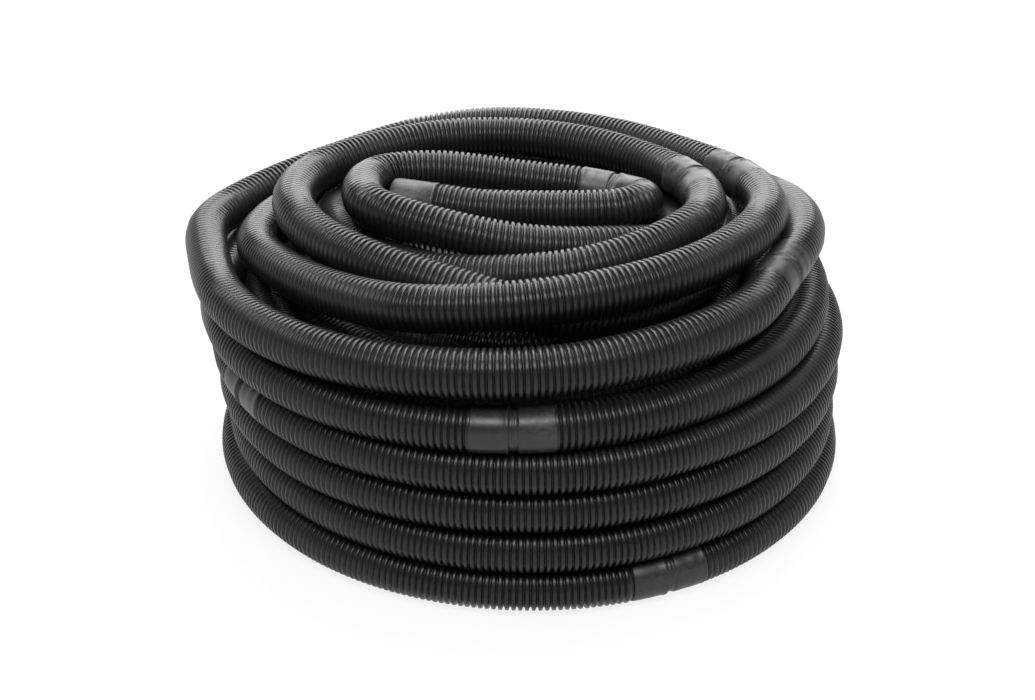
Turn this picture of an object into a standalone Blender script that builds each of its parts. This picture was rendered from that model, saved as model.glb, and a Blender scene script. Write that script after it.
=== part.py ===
"""A coil of corrugated pool hose: neat lower turns, loose upper turns, and a free end with a cuff.

The hose is one long piece. Its stacked turns are one turned solid with the coil's bore. The loose turns
on top are one tube that winds inward and up from that stack to the free end in the middle.
Metres, +Z up. The origin is on the floor, under the middle of the whole outline. The axis of the stacked
turns stands a little to its right, because the loose turns overhang the stack on the left.
"""
import math

import bmesh
import bpy
from mathutils import Vector

# The hose: a 38 mm bore inside corrugations that are 45 mm across
HOSE_RADIUS = 0.0225
HOSE_BORE_RADIUS = 0.019
TURN_PITCH = 0.0445

# The stacked turns: rows up the coil and columns from its outside to its bore
ROWS = 5
COLUMNS = 5
OUTER_TURN_RADIUS = 0.321
COIL_AXIS = Vector((0.0142, 0.0, 0.0))
COIL_STEPS = 40
LEAN = 0.06

# The loose turns are drawn a hair slimmer, so that turns lying side by side stay clear of each other
LOOSE_RADIUS = 0.0222

# Corners of a turn's section lie every 30 degrees, so that its lowest facet is level
CORNER_START = 15.0
CORNER_STEP = 30.0
CORNER_CLEARANCE = 6.0

# The free end: a smooth cuff in line with the last stretch of hose
CUFF_LENGTH = 0.048
CUFF_RADIUS = 0.0223
SOCKET_DEPTH = 0.038
CUFF_SIDES = 24
EDGE_BREAK = 0.0012
MEETING_GAP = 0.0003

# The loose turns, from the top of the stack to the free end: the middle of the hose, in millimetres from
# the foot of the coil's axis
LOOSE_ROUTE_MM = [
    (-160, 271, 243), (-58, 306, 245), (38, 309, 247), (116, 283, 249), (184, 213, 252),
    (250, 121, 255), (287, 36, 264), (286, -44, 268), (245, -138, 266), (200, -218, 264),
    (126, -276, 262), (35, -310, 258), (-61, -314, 255), (-153, -287, 250), (-234, -233, 246),
    (-294, -157, 243), (-333, -56, 241), (-349, 37, 242), (-304, 119, 247), (-221, 190, 258),
    (-132, 240, 270), (-50, 241, 282), (33, 219, 287), (107, 175, 291), (181, 103, 293),
    (233, 25, 297), (244, -50, 299), (213, -127, 301), (153, -193, 299), (67, -240, 296),
    (-28, -259, 292), (-112, -244, 282), (-185, -191, 270), (-250, -109, 257), (-287, -29, 249),
    (-276, 52, 246), (-226, 127, 243), (-154, 180, 243), (-60, 209, 244), (33, 197, 245),
    (120, 168, 246), (184, 126, 248), (211, 48, 249), (201, -41, 249), (159, -127, 250),
    (91, -191, 254), (15, -217, 263), (-66, -201, 277), (-157, -156, 287), (-218, -92, 290),
    (-248, -14, 291), (-235, 64, 290), (-173, 129, 291), (-97, 171, 291), (-12, 174, 292),
    (72, 139, 294), (138, 82, 294), (178, 7, 298), (177, -68, 298), (128, -129, 293),
    (57, -166, 285), (-21, -164, 274), (-105, -132, 263), (-174, -53, 254), (-214, 44, 250),
    (-183, 103, 246), (-115, 144, 244), (-29, 160, 245), (60, 141, 246), (129, 107, 248),
    (161, 35, 251), (149, -45, 258), (87, -93, 273), (0, -113, 283), (-79, -106, 295),
    (-158, -67, 304), (-174, -20, 302), (-170, 19, 300), (-150, 42, 298), (-97, 53, 297),
    (-8, 49, 288), (68, 36, 284), (104, 20, 283), (122, -8, 288), (100, -36, 291), (55, -41, 290),
    (-54, -22, 283), (-97, -12, 285),
]


def rubbery_plastic(name, shade, roughness):
    """A black moulded plastic."""
    material = bpy.data.materials.new(name)
    material.use_nodes = True
    shader = material.node_tree.nodes["Principled BSDF"]
    shader.inputs["Base Color"].default_value = (shade, shade, shade, 1.0)
    shader.inputs["Roughness"].default_value = roughness
    shader.inputs["Metallic"].default_value = 0.0
    return material


def add_object(name, data, material):
    """Link an object and give it its material."""
    data.materials.append(material)
    item = bpy.data.objects.new(name, data)
    bpy.context.scene.collection.objects.link(item)
    return item


def section_point(centre, degrees):
    """A corner of a turn's section, as radius and height."""
    angle = math.radians(degrees)
    return (centre[0] + HOSE_RADIUS * math.cos(angle), centre[1] + HOSE_RADIUS * math.sin(angle))


def turn_arc(centre, start, end):
    """The corners of one turn's section, from one valley to the next."""
    points = [section_point(centre, start)]
    corner = CORNER_START + CORNER_STEP * math.floor((start - CORNER_START) / CORNER_STEP)
    while corner < end - CORNER_CLEARANCE:
        if corner > start + CORNER_CLEARANCE:
            points.append(section_point(centre, corner))
        corner += CORNER_STEP
    return points


def coil_profile():
    """The outline of a grid of touching turns, anticlockwise from its outer bottom corner."""
    lowest = HOSE_RADIUS * math.cos(math.radians(CORNER_START))
    valley = math.degrees(math.acos(TURN_PITCH / 2 / HOSE_RADIUS))
    last_row = ROWS - 1
    last_column = COLUMNS - 1

    def centre(column, row):
        return (OUTER_TURN_RADIUS - column * TURN_PITCH, lowest + row * TURN_PITCH)

    points = turn_arc(centre(0, 0), 180 + valley, 450 - valley)
    for row in range(1, last_row):
        points += turn_arc(centre(0, row), -90 + valley, 90 - valley)
    points += turn_arc(centre(0, last_row), -90 + valley, 180 - valley)
    for column in range(1, last_column):
        points += turn_arc(centre(column, last_row), valley, 180 - valley)
    points += turn_arc(centre(last_column, last_row), valley, 270 - valley)
    for row in range(last_row - 1, 0, -1):
        points += turn_arc(centre(last_column, row), 90 + valley, 270 - valley)
    points += turn_arc(centre(last_column, 0), 90 + valley, 360 - valley)
    for column in range(last_column - 1, 0, -1):
        points += turn_arc(centre(column, 0), 180 + valley, 360 - valley)
    return points


def build_stacked_turns(material):
    """Turn the profile about the coil's axis, then let the stack lean a little."""
    mesh = bmesh.new()
    corners = [mesh.verts.new((radius, 0.0, height)) for radius, height in coil_profile()]
    edges = [mesh.edges.new((corners[i - 1], corners[i])) for i in range(len(corners))]
    bmesh.ops.spin(mesh, geom=corners + edges, cent=(0, 0, 0), axis=(0, 0, 1),
                   angle=2 * math.pi, steps=COIL_STEPS, use_merge=True)
    for corner in mesh.verts:
        corner.co.z *= 1 + LEAN * corner.co.x
        corner.co += COIL_AXIS
    bmesh.ops.recalc_face_normals(mesh, faces=mesh.faces)
    data = bpy.data.meshes.new("stacked_turns")
    mesh.to_mesh(data)
    mesh.free()
    data.shade_smooth()
    return add_object("stacked_turns", data, material)


def loose_route():
    """The route's points in metres, in the part's own frame."""
    return [COIL_AXIS + Vector(point) / 1000 for point in LOOSE_ROUTE_MM]


def build_loose_turns(material):
    """A round tube along the loose turns, stopping just short of the cuff."""
    route = loose_route()
    curve = bpy.data.curves.new("loose_turns", "CURVE")
    curve.dimensions = "3D"
    curve.bevel_depth = LOOSE_RADIUS
    curve.bevel_resolution = 3
    curve.use_fill_caps = True
    curve.resolution_u = 1
    curve.render_resolution_u = 0
    spline = curve.splines.new("POLY")
    spline.points.add(len(route) - 1)
    for point, place in zip(spline.points, route):
        point.co = (*place, 1.0)
    return add_object("loose_turns", curve, material)


def build_end_cuff(material):
    """Turn the cuff's section about X, then lay it in line with the last stretch."""
    route = loose_route()
    outward = (route[-1] - route[-2]).normalized()
    start = route[-1] + outward * MEETING_GAP
    section = [
        (0.0, 0.0),
        (0.0, CUFF_RADIUS),
        (CUFF_LENGTH - EDGE_BREAK, CUFF_RADIUS),
        (CUFF_LENGTH, CUFF_RADIUS - EDGE_BREAK),
        (CUFF_LENGTH, HOSE_BORE_RADIUS),
        (CUFF_LENGTH - SOCKET_DEPTH, HOSE_BORE_RADIUS),
        (CUFF_LENGTH - SOCKET_DEPTH, 0.0),
    ]
    mesh = bmesh.new()
    corners = [mesh.verts.new((along, 0.0, radius)) for along, radius in section]
    edges = [mesh.edges.new(pair) for pair in zip(corners, corners[1:])]
    bmesh.ops.spin(mesh, geom=corners + edges, cent=(0, 0, 0), axis=(1, 0, 0),
                   angle=2 * math.pi, steps=CUFF_SIDES, use_merge=True)
    bmesh.ops.remove_doubles(mesh, verts=mesh.verts, dist=0.0001)
    turn = Vector((1, 0, 0)).rotation_difference(outward).to_matrix().to_4x4()
    turn.translation = start
    bmesh.ops.recalc_face_normals(mesh, faces=mesh.faces)
    if mesh.calc_volume(signed=True) < 0.0:
        bmesh.ops.reverse_faces(mesh, faces=mesh.faces)
    mesh.transform(turn)
    data = bpy.data.meshes.new("end_cuff")
    mesh.to_mesh(data)
    mesh.free()
    data.shade_smooth()
    return add_object("end_cuff", data, material)


def main():
    for item in list(bpy.data.objects):
        bpy.data.objects.remove(item, do_unlink=True)
    build_stacked_turns(rubbery_plastic("stacked_hose", 0.022, 0.42))
    build_loose_turns(rubbery_plastic("loose_hose", 0.022, 0.42))
    build_end_cuff(rubbery_plastic("cuff", 0.03, 0.35))


main()
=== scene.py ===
"""A coil of corrugated pool hose: neat stacked turns below, loose turns and a free end on top."""

import bisect
import math

import bmesh
import bpy
from mathutils import Matrix, Vector


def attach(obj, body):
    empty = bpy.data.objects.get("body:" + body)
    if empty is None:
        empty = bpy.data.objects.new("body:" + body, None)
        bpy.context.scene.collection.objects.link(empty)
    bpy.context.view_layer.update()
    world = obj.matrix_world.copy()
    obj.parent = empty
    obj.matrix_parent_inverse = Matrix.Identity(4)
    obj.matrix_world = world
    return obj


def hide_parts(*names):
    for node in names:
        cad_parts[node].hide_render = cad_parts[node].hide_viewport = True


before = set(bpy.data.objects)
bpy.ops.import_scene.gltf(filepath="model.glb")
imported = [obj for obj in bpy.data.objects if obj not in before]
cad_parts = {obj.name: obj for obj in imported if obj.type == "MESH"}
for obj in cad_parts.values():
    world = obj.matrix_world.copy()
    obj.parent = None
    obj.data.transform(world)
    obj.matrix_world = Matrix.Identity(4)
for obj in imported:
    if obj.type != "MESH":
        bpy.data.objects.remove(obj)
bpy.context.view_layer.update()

# The camera
# A long lens looks down on the coil from in front, a little off level, as in the photograph.
CAMERA_TARGET = Vector((0.0028, 0.0, 0.1026))
CAMERA_DISTANCE = 1.500
CAMERA_TILT = math.radians(29.25)
CAMERA_ROLL = math.radians(0.24)
CAMERA_LENS_MM = 46.15
CAMERA_SENSOR_MM = 36.0
lens_data = bpy.data.cameras.new("camera")
lens_data.lens = CAMERA_LENS_MM
lens_data.sensor_width = CAMERA_SENSOR_MM
camera = bpy.data.objects.new("camera", lens_data)
towards_camera = Vector((0.0, -math.cos(CAMERA_TILT), math.sin(CAMERA_TILT)))
camera.matrix_world = (
    Matrix.Translation(CAMERA_TARGET + towards_camera * CAMERA_DISTANCE)
    @ Matrix.Rotation(math.pi / 2 - CAMERA_TILT, 4, "X")
    @ Matrix.Rotation(CAMERA_ROLL, 4, "Z")
)
bpy.context.scene.collection.objects.link(camera)
bpy.context.scene.camera = camera

# The stacked turns
# The hose is one length of black polyethylene, blown into rings 6 mm apart round a 38 mm bore. It is wound
# from the bottom of the coil's bore: up one column of turns, down the next, and so out to the fifth.
# Each turn climbs to the next row at the back, and a column hands over to the next one there too.
COIL_AXIS = Vector((0.0142, 0.0, 0.0))
COLUMN_STEP = 0.0452
COLUMNS = 5
# Each row of the stack: middle x and y, half widths in x and y, height, and its rise towards x and y
ROW_RINGS = [
    (0.0019, 0.0018, 0.3270, 0.3199, 0.0228, 0.0, 0.0),
    (0.0037, -0.0010, 0.3157, 0.3171, 0.0678, 0.0027, 0.0),
    (0.0005, 0.0008, 0.3187, 0.3190, 0.1144, 0.0055, 0.0002),
    (-0.0016, -0.0003, 0.3201, 0.3209, 0.1589, 0.0056, 0.0003),
    (-0.0153, -0.0009, 0.3144, 0.3169, 0.2013, 0.0041, 0.0004),
]
# Where a turn starts out level, climbs to the next row, and moves to the next column, in degrees
LEVEL_FROM = 40
CLIMB_FROM = -200
SHIFT_FROM = -260
SHIFT_TO = -320


def ring_point(row, column, degrees):
    """The middle of the hose at one angle of a turn. A part row or column is on its way to the next."""
    below = min(int(row), len(ROW_RINGS) - 2)
    share = row - below
    x, y, wide, deep, height, rise_x, rise_y = (
        low + (high - low) * share for low, high in zip(ROW_RINGS[below], ROW_RINGS[below + 1]))
    angle = math.radians(degrees)
    inwards = COLUMN_STEP * column
    return COIL_AXIS + Vector((
        x + (wide - inwards) * math.cos(angle),
        y + (deep - inwards) * math.sin(angle),
        height + rise_x * math.cos(angle) + rise_y * math.sin(angle)))


def eased(value, start, end):
    """How far a value has come from start to end, from 0 to 1, with a smooth start and stop."""
    share = min(1.0, max(0.0, (value - start) / (end - start)))
    return share * share * (3 - 2 * share)


def column_of_turns(column):
    """The hose's middle line up or down one column, and across to the next."""
    rows = list(range(len(ROW_RINGS)))
    step = 1
    if column % 2:
        rows.reverse()
        step = -1
    points = []
    for row in rows:
        last = row == rows[-1]
        for degrees in range(LEVEL_FROM, CLIMB_FROM, -1):
            points.append(ring_point(row, column, degrees))
        if last and column == 0:
            return points
        for degrees in range(CLIMB_FROM, SHIFT_TO, -1):
            climb = 0.0 if last else eased(degrees, CLIMB_FROM, SHIFT_FROM)
            shift = eased(degrees, SHIFT_FROM, SHIFT_TO) if last else 0.0
            points.append(ring_point(row + step * climb, column - shift, degrees))
    return points


class Line:
    """The hose's middle line, measured along its length."""

    REACH = 0.004

    def __init__(self, points):
        self.points = points
        self.arcs = [0.0]
        for a, b in zip(points, points[1:]):
            self.arcs.append(self.arcs[-1] + (b - a).length)
        self.length = self.arcs[-1]

    def at(self, arc):
        """The point at a distance along the hose."""
        i = min(max(bisect.bisect_right(self.arcs, arc) - 1, 0), len(self.points) - 2)
        share = (arc - self.arcs[i]) / (self.arcs[i + 1] - self.arcs[i])
        return self.points[i].lerp(self.points[i + 1], share)

    def along(self, arc):
        """The hose's direction there."""
        return (self.at(arc + self.REACH) - self.at(arc - self.REACH)).normalized()

    def nearest(self, place):
        """How far along the hose comes closest to a place."""
        closest = min(range(len(self.points)), key=lambda i: (self.points[i] - place).length)
        return self.arcs[closest]


def black_plastic(name, shade, roughness, gloss_level, grain, wear):
    """Black polyethylene with a film of dust and fine scuffs, which show more the higher the wear."""
    material = bpy.data.materials.new(name)
    material.use_nodes = True
    nodes, links = material.node_tree.nodes, material.node_tree.links
    shader = nodes["Principled BSDF"]
    shader.inputs["Specular IOR Level"].default_value = gloss_level

    # Dust lies in slow clouds, broken up by fine specks
    place = nodes.new("ShaderNodeTexCoord")
    clouds = nodes.new("ShaderNodeTexNoise")
    clouds.inputs["Scale"].default_value = 14.0
    clouds.inputs["Detail"].default_value = 5.0
    specks = nodes.new("ShaderNodeTexNoise")
    specks.inputs["Scale"].default_value = grain
    specks.inputs["Detail"].default_value = 3.0
    for noise in (clouds, specks):
        links.new(place.outputs["Object"], noise.inputs["Vector"])
    dust = nodes.new("ShaderNodeMath")
    dust.operation = "MULTIPLY"
    links.new(clouds.outputs["Fac"], dust.inputs[0])
    links.new(specks.outputs["Fac"], dust.inputs[1])

    # It makes the black paler and duller
    colour = nodes.new("ShaderNodeValToRGB")
    clean, dusty = colour.color_ramp.elements
    clean.position, dusty.position = 0.15, 0.45
    dark, pale = shade * (1 - wear / 3), shade * (1 + wear)
    clean.color = (dark, dark, dark, 1)
    dusty.color = (pale, pale, pale, 1)
    links.new(dust.outputs[0], colour.inputs["Fac"])
    links.new(colour.outputs["Color"], shader.inputs["Base Color"])
    gloss = nodes.new("ShaderNodeMapRange")
    gloss.inputs["From Min"].default_value = 0.1
    gloss.inputs["From Max"].default_value = 0.45
    gloss.inputs["To Min"].default_value = roughness - 0.1 * wear
    gloss.inputs["To Max"].default_value = roughness + 0.15 * wear
    links.new(dust.outputs[0], gloss.inputs["Value"])
    links.new(gloss.outputs["Result"], shader.inputs["Roughness"])

    # The specks are a faint grain in the surface too
    bump = nodes.new("ShaderNodeBump")
    bump.inputs["Strength"].default_value = 0.08
    bump.inputs["Distance"].default_value = 0.0004
    links.new(specks.outputs["Fac"], bump.inputs["Height"])
    links.new(bump.outputs["Normal"], shader.inputs["Normal"])
    return material


CREST_RADIUS = 0.0225
PLAIN_RADIUS = 0.0222
RIB_PITCH = 0.0061
# One ring and the groove after it: shares of the pitch, and radii
RING_PROFILE = [(0.0, 0.0221), (0.07, 0.0225), (0.47, 0.0225), (0.54, 0.0221), (0.69, 0.0192),
                (0.83, 0.0192)]
# The same for the turns that hardly show
PLAINER_RING = [(0.0, 0.0224), (0.52, 0.0224), (0.65, 0.0201), (0.87, 0.0201)]
# Under a double cuff the hose is slim and smooth
CUFF_HALF = 0.037
CUFF_OVERLAP = 0.003
UNDER_CUFF_RADIUS = 0.0192
# Steps along the hose where it has no rings
COVERED_STEP = 0.008
PLAIN_STEP = 0.02
# What is kept clear at a stretch's ends: of rings, and of any other point
END_ROOM = 0.004
LEAST_STEP = 0.002
# A loose turn's rings are flattest where it runs from front to back, with less than the first share of left
# or right in its direction, and full above the second. The third is how much of their height stays.
FLAT_BELOW = 0.34
FULL_ABOVE = 0.66
FLAT_RIBS = 0.12
hose_plastic = black_plastic("ribbed_hose", 0.011, 0.33, 0.36, 420.0, 0.5)


def rib_strength(line, arc):
    """The rings lie nearly flat where a loose turn bends round the coil's left and right."""
    across = abs(line.along(arc).x)
    return FLAT_RIBS + (1 - FLAT_RIBS) * eased(across, FLAT_BELOW, FULL_ABOVE)


def ribs(line, start, end, cuffs, plain, profile, flatten):
    """The ribs' crests, flanks and valleys between two places: how far along the hose, and the radii."""
    spots = [(start, UNDER_CUFF_RADIUS)]
    arc = start + END_ROOM
    while arc < end - END_ROOM:
        if any(abs(arc - cuff) < CUFF_HALF - CUFF_OVERLAP for cuff in cuffs):
            spots.append((arc, UNDER_CUFF_RADIUS))
            arc += COVERED_STEP
        elif any(low < arc < high for low, high in plain):
            spots.append((arc, PLAIN_RADIUS))
            arc += PLAIN_STEP
        else:
            strength = rib_strength(line, arc) if flatten else 1.0
            for share, radius in profile:
                spots.append((arc + share * RIB_PITCH, PLAIN_RADIUS + (radius - PLAIN_RADIUS) * strength))
            arc += RIB_PITCH
    spots = [spot for spot in spots if spot[0] < end - LEAST_STEP]
    spots.append((end, UNDER_CUFF_RADIUS))
    return spots


def lay_hose(name, line, start, end, cuffs, plain=(), profile=RING_PROFILE, flatten=False):
    """One stretch of the hose as a round tube whose thickness follows its ribs."""
    curve = bpy.data.curves.new(name, "CURVE")
    curve.dimensions = "3D"
    curve.bevel_depth = CREST_RADIUS
    curve.bevel_resolution = 6
    curve.use_fill_caps = True
    curve.resolution_u = 1
    curve.render_resolution_u = 0
    spots = ribs(line, start, end, cuffs, plain, profile, flatten)
    spline = curve.splines.new("POLY")
    spline.points.add(len(spots) - 1)
    for point, (arc, radius) in zip(spline.points, spots):
        point.co = (*line.at(arc), 1.0)
        point.radius = radius / CREST_RADIUS
    spline.use_smooth = True
    curve.materials.append(hose_plastic)
    piece = bpy.data.objects.new(name, curve)
    bpy.context.scene.collection.objects.link(piece)
    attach(piece, "root")
    line.at(start)
    return piece


stack_line = Line([point for column in range(COLUMNS - 1, -1, -1) for point in column_of_turns(column)])

# The outer turns
# The fifth column is the coil's outside, where the rings show best. The hose has a double cuff each 1.6 m,
# and the stretches that it is made in here meet out of sight under one.
LOWEST_CUFF_DEGREES = -67
FRONT_CUFF_DEGREES = -90
LEFT_CUFF_DEGREES = -147
# Cuff spacings from the lowest cuff in sight to the front one
SPACINGS_BETWEEN = 5


def turn_arc(column, row, degrees):
    """How far along the hose a turn of the stack reaches an angle."""
    return stack_line.nearest(ring_point(row, column, degrees))


lowest_cuff = turn_arc(0, 0, LOWEST_CUFF_DEGREES)
front_cuff = turn_arc(0, 4, FRONT_CUFF_DEGREES)
cuff_spacing = (front_cuff - lowest_cuff) / SPACINGS_BETWEEN
stack_cuffs = [front_cuff - cuff_spacing * i for i in range(int(front_cuff / cuff_spacing) + 1)]
stack_cuffs.reverse()
# The one before the front cuff is in sight too, at the left of the fourth row
stack_cuffs[-2] = turn_arc(0, 3, LEFT_CUFF_DEGREES)

# The middle rows of the columns between the outside and the bore are left plain, since other turns lie all
# round them
PLAIN_FROM = 30
plain = []
for column in (3, 2, 1):
    first_row, last_row = (3, 1) if column % 2 else (1, 3)
    plain.append((turn_arc(column, first_row, PLAIN_FROM), turn_arc(column, last_row, CLIMB_FROM)))

# The stretches, from the bore outwards, meet at the cuffs nearest to these shares of the winding
STRETCHES = [
    ("bore_turns", PLAINER_RING),
    ("second_turns", PLAINER_RING),
    ("fourth_turns", PLAINER_RING),
    ("lower_outer_turns", RING_PROFILE),
    ("upper_outer_turns", RING_PROFILE),
]
MEETING_SHARES = (0.21, 0.45, 0.70, 0.86)
cuts = [0.0]
for wanted in MEETING_SHARES:
    cuts.append(min(stack_cuffs, key=lambda arc: abs(arc - wanted * stack_line.length)))
cuts.append(front_cuff)
for (name, profile), start, end in zip(STRETCHES, cuts, cuts[1:]):
    piece = lay_hose(name, stack_line, start, end, stack_cuffs, plain, profile)
    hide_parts("stacked_turns")

# The loose turns
# The rest of the hose lies on the stack in loose turns that tighten towards the middle. They were laid by
# hand, partly across each other, and only their own weight holds them.
LOOSE_ROUTE_MM = [
    (-160, 271, 243), (-58, 306, 245), (38, 309, 247), (116, 283, 249), (184, 213, 252),
    (250, 121, 255), (287, 36, 264), (286, -44, 268), (245, -138, 266), (200, -218, 264),
    (126, -276, 262), (35, -310, 258), (-61, -314, 255), (-153, -287, 250), (-234, -233, 246),
    (-294, -157, 243), (-333, -56, 241), (-349, 37, 242), (-304, 119, 247), (-221, 190, 258),
    (-132, 240, 270), (-50, 241, 282), (33, 219, 287), (107, 175, 291), (181, 103, 293),
    (233, 25, 297), (244, -50, 299), (213, -127, 301), (153, -193, 299), (67, -240, 296),
    (-28, -259, 292), (-112, -244, 282), (-185, -191, 270), (-250, -109, 257), (-287, -29, 249),
    (-276, 52, 246), (-226, 127, 243), (-154, 180, 243), (-60, 209, 244), (33, 197, 245),
    (120, 168, 246), (184, 126, 248), (211, 48, 249), (201, -41, 249), (159, -127, 250),
    (91, -191, 254), (15, -217, 263), (-66, -201, 277), (-157, -156, 287), (-218, -92, 290),
    (-248, -14, 291), (-235, 64, 290), (-173, 129, 291), (-97, 171, 291), (-12, 174, 292),
    (72, 139, 294), (138, 82, 294), (178, 7, 298), (177, -68, 298), (128, -129, 293),
    (57, -166, 285), (-21, -164, 274), (-105, -132, 263), (-174, -53, 254), (-214, 44, 250),
    (-183, 103, 246), (-115, 144, 244), (-29, 160, 245), (60, 141, 246), (129, 107, 248),
    (161, 35, 251), (149, -45, 258), (87, -93, 273), (0, -113, 283), (-79, -106, 295),
    (-158, -67, 304), (-174, -20, 302), (-170, 19, 300), (-150, 42, 298), (-97, 53, 297),
    (-8, 49, 288), (68, 36, 284), (104, 20, 283), (122, -8, 288), (100, -36, 291), (55, -41, 290),
    (-54, -22, 283), (-97, -12, 285),
]
# The top row goes on level from its front cuff, with a point each few degrees, and then climbs to the first
# loose turn
TOP_LEVEL_TO = -190
TOP_STEP = -6
CLIMB_MM = [(-305, 123, 208), (-257, 202, 228)]
LINE_STEP = 0.004
SMOOTHING_ROUNDS = 8


def smooth_line(points):
    """A smooth curve through the points, as closely spaced points of its own."""
    ends = [2 * points[0] - points[1], *points, 2 * points[-1] - points[-2]]
    smooth = []
    for p0, p1, p2, p3 in zip(ends, ends[1:], ends[2:], ends[3:]):
        t1 = math.sqrt((p1 - p0).length)
        t2 = t1 + math.sqrt((p2 - p1).length)
        t3 = t2 + math.sqrt((p3 - p2).length)
        count = max(2, int((p2 - p1).length / LINE_STEP))
        for i in range(count):
            t = t1 + (t2 - t1) * i / count
            a1 = p0.lerp(p1, t / t1)
            a2 = p1.lerp(p2, (t - t1) / (t2 - t1))
            a3 = p2.lerp(p3, (t - t2) / (t3 - t2))
            b1 = a1.lerp(a2, t / t2)
            b2 = a2.lerp(a3, (t - t1) / (t3 - t1))
            smooth.append(b1.lerp(b2, (t - t1) / (t2 - t1)))
    smooth.append(points[-1])
    for _ in range(SMOOTHING_ROUNDS):
        smooth[1:-1] = [(a + 2 * b + c) / 4 for a, b, c in zip(smooth, smooth[1:], smooth[2:])]
    return smooth


top_turn = [ring_point(4, 0, degrees) for degrees in range(FRONT_CUFF_DEGREES, TOP_LEVEL_TO, TOP_STEP)]
loose_points = top_turn + [COIL_AXIS + Vector(point) / 1000 for point in CLIMB_MM + LOOSE_ROUTE_MM]
loose_line = Line(smooth_line(loose_points))


def loose_cuff(x, y, z):
    """How far along the loose turns a cuff lies."""
    return loose_line.nearest(COIL_AXIS + Vector((x, y, z)))


right_cuff = loose_cuff(0.243, -0.136, 0.266)
back_cuff = loose_cuff(0.225, 0.037, 0.296)
hidden_cuff = loose_cuff(0.195, 0.090, 0.248)
second_cuff = loose_cuff(0.175, 0.011, 0.297)
first_cuff = loose_cuff(0.091, 0.026, 0.283)
# The loose line starts at the stack's front cuff
loose_cuffs = [0.0, right_cuff, back_cuff, hidden_cuff, second_cuff, first_cuff]
for name, start, end in (
        ("top_turns", 0.0, back_cuff),
        ("upper_loose_turns", back_cuff, second_cuff),
        ("inner_loose_turns", second_cuff, loose_line.length)):
    piece = lay_hose(name, loose_line, start, end, loose_cuffs, flatten=True)
    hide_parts("loose_turns")

# The double cuffs
# Two smooth sleeves moulded in one with the hose, with a groove between them where it may be cut. The
# section runs over both sleeves and back along the bore, and the whole cuff bends with the hose.
CUFF_SIDES = 32
CUFF_PROFILE_MM = [
    (0.0, 19.0), (0.0, 21.3), (0.5, 22.4), (1.2, 22.85), (2.4, 22.85), (3.2, 22.4), (10.0, 22.4),
    (16.6, 22.4), (17.4, 22.15), (24.0, 22.15), (31.2, 22.15), (32.2, 21.9), (32.8, 20.3), (35.2, 20.1),
    (35.9, 20.7), (37.1, 20.7), (37.8, 20.1), (40.2, 20.3), (40.6, 22.5), (41.3, 22.85), (42.5, 22.85),
    (43.3, 22.35), (50.0, 22.3), (57.0, 22.3), (64.0, 22.3), (72.3, 22.3), (73.5, 22.0), (74.0, 21.0),
    (74.0, 19.0), (64.0, 19.0), (54.0, 19.0), (44.0, 19.0), (37.0, 19.0), (30.0, 19.0), (20.0, 19.0),
    (10.0, 19.0),
]
cuff_plastic = black_plastic("smooth_cuff", 0.026, 0.40, 0.5, 300.0, 1.0)


def spun_section(profile_mm, closed):
    """Spin a section round the X axis. It is a ring, or it runs from the axis out and back to it."""
    mesh = bmesh.new()
    corners = [mesh.verts.new((along / 1000, 0.0, radius / 1000)) for along, radius in profile_mm]
    edges = [mesh.edges.new(pair) for pair in zip(corners, corners[1:])]
    if closed:
        edges.append(mesh.edges.new((corners[-1], corners[0])))
    bmesh.ops.spin(mesh, geom=corners + edges, cent=(0, 0, 0), axis=(1, 0, 0), angle=2 * math.pi,
                   steps=CUFF_SIDES, use_merge=True)
    bmesh.ops.remove_doubles(mesh, verts=mesh.verts, dist=0.00001)
    return mesh


def bend_along(mesh, line, start):
    """Lay a mesh that was made along X on the hose's line."""
    for corner in mesh.verts:
        arc = start + corner.co.x
        along = line.along(arc)
        side = along.cross(Vector((0, 0, 1))).normalized()
        up = side.cross(along)
        corner.co = line.at(arc) + side * corner.co.y + up * corner.co.z


def finished_cuff(name, mesh):
    """Make the piece from its mesh, with its faces pointing outwards."""
    bmesh.ops.recalc_face_normals(mesh, faces=mesh.faces)
    if mesh.calc_volume(signed=True) < 0.0:
        bmesh.ops.reverse_faces(mesh, faces=mesh.faces)
    data = bpy.data.meshes.new(name)
    mesh.to_mesh(data)
    mesh.free()
    data.shade_smooth()
    data.materials.append(cuff_plastic)
    piece = bpy.data.objects.new(name, data)
    bpy.context.scene.collection.objects.link(piece)
    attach(piece, "root")
    return piece


# The stack's first place for a cuff is deep in the bore and stays bare, and the loose line's first is the
# front cuff again
for group, line, middles in (
        ("stack", stack_line, stack_cuffs[1:]),
        ("loose", loose_line, loose_cuffs[1:])):
    for number, middle in enumerate(middles, 1):
        mesh = spun_section(CUFF_PROFILE_MM, closed=True)
        bend_along(mesh, line, middle - CUFF_HALF)
        finished_cuff(f"{group}_cuff_{number}", mesh)

# The free end
# The last sleeve, moulded in one with the hose and cut clean across. Its bore takes a hose spigot, and is
# closed off 38 mm in, where the real hose goes on hollow.
END_PROFILE_MM = [
    (0.3, 0.0), (0.3, 21.4), (0.9, 22.4), (1.6, 22.8), (2.8, 22.8), (3.6, 22.3), (22.0, 22.3),
    (41.0, 22.3), (44.0, 22.1), (46.3, 21.6), (47.8, 20.8), (48.3, 20.0), (48.1, 19.3), (47.4, 19.0),
    (10.3, 19.0), (10.3, 0.0),
]
mesh = spun_section(END_PROFILE_MM, closed=False)
last, before = loose_points[-1], loose_points[-2]
turn = Vector((1, 0, 0)).rotation_difference((last - before).normalized()).to_matrix().to_4x4()
turn.translation = last
mesh.transform(turn)
end_cuff = finished_cuff("free_end_cuff", mesh)
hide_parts("end_cuff")

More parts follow.
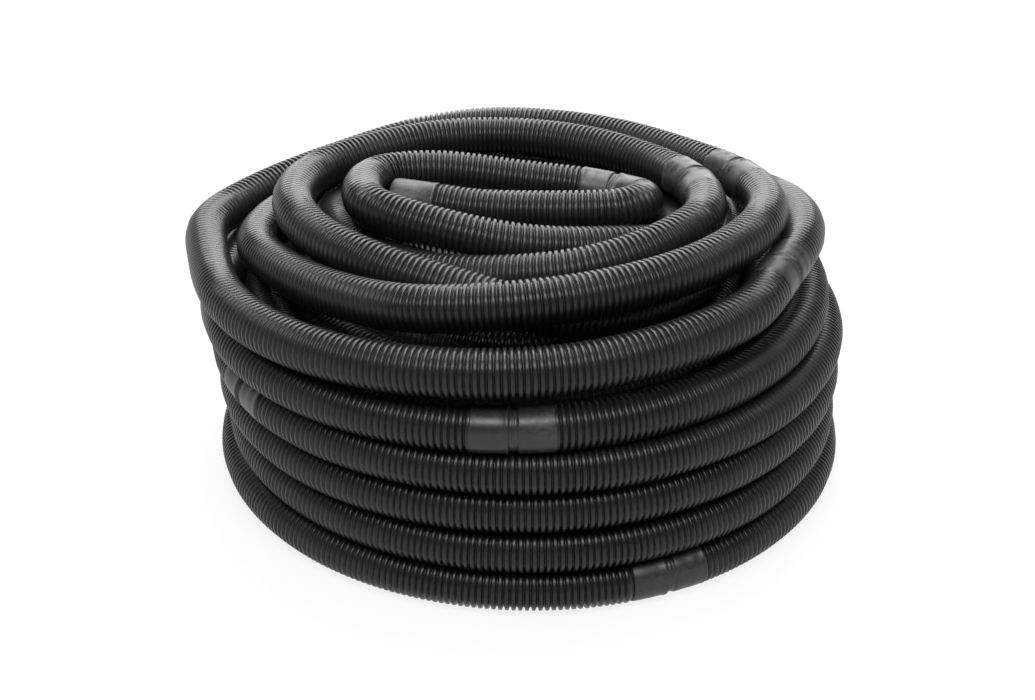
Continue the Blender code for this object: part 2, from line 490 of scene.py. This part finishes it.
# The floor
# A wide white table. It is grey to the lamps, so that it throws little light back, and white to whoever
# looks at it, straight or in the hose's gloss.
FLOOR_HALF = 40.0
BACKDROP_WHITE = 0.85
mesh = bmesh.new()
bmesh.ops.create_grid(mesh, x_segments=1, y_segments=1, size=FLOOR_HALF)
floor_data = bpy.data.meshes.new("floor")
mesh.to_mesh(floor_data)
mesh.free()
floor = bpy.data.objects.new("floor", floor_data)
bpy.context.scene.collection.objects.link(floor)


def seen_directly(nodes, links):
    """1 where the camera sees a surface, straight or by gloss or glass, and 0 where it only sends light."""
    rays = nodes.new("ShaderNodeLightPath")
    seen = rays.outputs["Is Camera Ray"]
    for kind in ("Is Glossy Ray", "Is Transmission Ray"):
        either = nodes.new("ShaderNodeMath")
        either.operation = "MAXIMUM"
        links.new(seen, either.inputs[0])
        links.new(rays.outputs[kind], either.inputs[1])
        seen = either.outputs[0]
    return seen


floor_paint = bpy.data.materials.new("floor_paint")
floor_paint.use_nodes = True
nodes, links = floor_paint.node_tree.nodes, floor_paint.node_tree.links
floor_shader = nodes["Principled BSDF"]
floor_shader.inputs["Base Color"].default_value = (0.15, 0.15, 0.15, 1)
floor_shader.inputs["Roughness"].default_value = 0.9
floor_shader.inputs["Specular IOR Level"].default_value = 0.1
floor_shader.inputs["Emission Color"].default_value = (1, 1, 1, 1)
glow = nodes.new("ShaderNodeMath")
glow.operation = "MULTIPLY"
glow.inputs[1].default_value = BACKDROP_WHITE
links.new(seen_directly(nodes, links), glow.inputs[0])
links.new(glow.outputs[0], floor_shader.inputs["Emission Strength"])
floor_data.materials.append(floor_paint)

# The lamps
# Three soft lamps: a wide one behind the coil, a deep one above it, and a slim one in front. Each line
# gives a lamp's width and depth, its watts, its place, and its tilt about X in degrees.
for name, wide, deep, watts, place, tilt in (
        ("back_lamp", 3.4, 1.4, 58.0, (0.0, 2.45, 1.2), -66),
        ("top_lamp", 1.2, 2.3, 78.0, (0.0, 0.8, 2.35), -19),
        ("front_lamp", 2.4, 0.6, 50.0, (0.0, -1.35, 2.2), 30)):
    lamp_data = bpy.data.lights.new(name, "AREA")
    lamp_data.shape = "RECTANGLE"
    lamp_data.size = wide
    lamp_data.size_y = deep
    lamp_data.energy = watts
    lamp = bpy.data.objects.new(name, lamp_data)
    lamp.location = place
    lamp.rotation_euler = (math.radians(tilt), 0, 0)
    bpy.context.scene.collection.objects.link(lamp)

# The room
# A low white backdrop stands all round, and the room above it is dim. As a light, all of it is dim.
DIM_ROOM = 0.06
# Where the backdrop ends and the room begins: the upward share of a line of sight
BACKDROP_TOP = 0.26
ROOM_FROM = 0.30
world = bpy.data.worlds.new("studio")
world.use_nodes = True
bpy.context.scene.world = world
nodes, links = world.node_tree.nodes, world.node_tree.links
background = nodes["Background"]
background.inputs["Color"].default_value = (1, 1, 1, 1)
direction = nodes.new("ShaderNodeTexCoord")
parts = nodes.new("ShaderNodeSeparateXYZ")
links.new(direction.outputs["Generated"], parts.inputs["Vector"])
backdrop = nodes.new("ShaderNodeMapRange")
backdrop.inputs["From Min"].default_value = BACKDROP_TOP
backdrop.inputs["From Max"].default_value = ROOM_FROM
backdrop.inputs["To Min"].default_value = BACKDROP_WHITE
backdrop.inputs["To Max"].default_value = DIM_ROOM
links.new(parts.outputs["Z"], backdrop.inputs["Value"])
strength = nodes.new("ShaderNodeMapRange")
strength.inputs["To Min"].default_value = DIM_ROOM
links.new(seen_directly(nodes, links), strength.inputs["Value"])
links.new(backdrop.outputs["Result"], strength.inputs["To Max"])
links.new(strength.outputs["Result"], background.inputs["Strength"])

bpy.context.scene.view_settings.view_transform = "Standard"
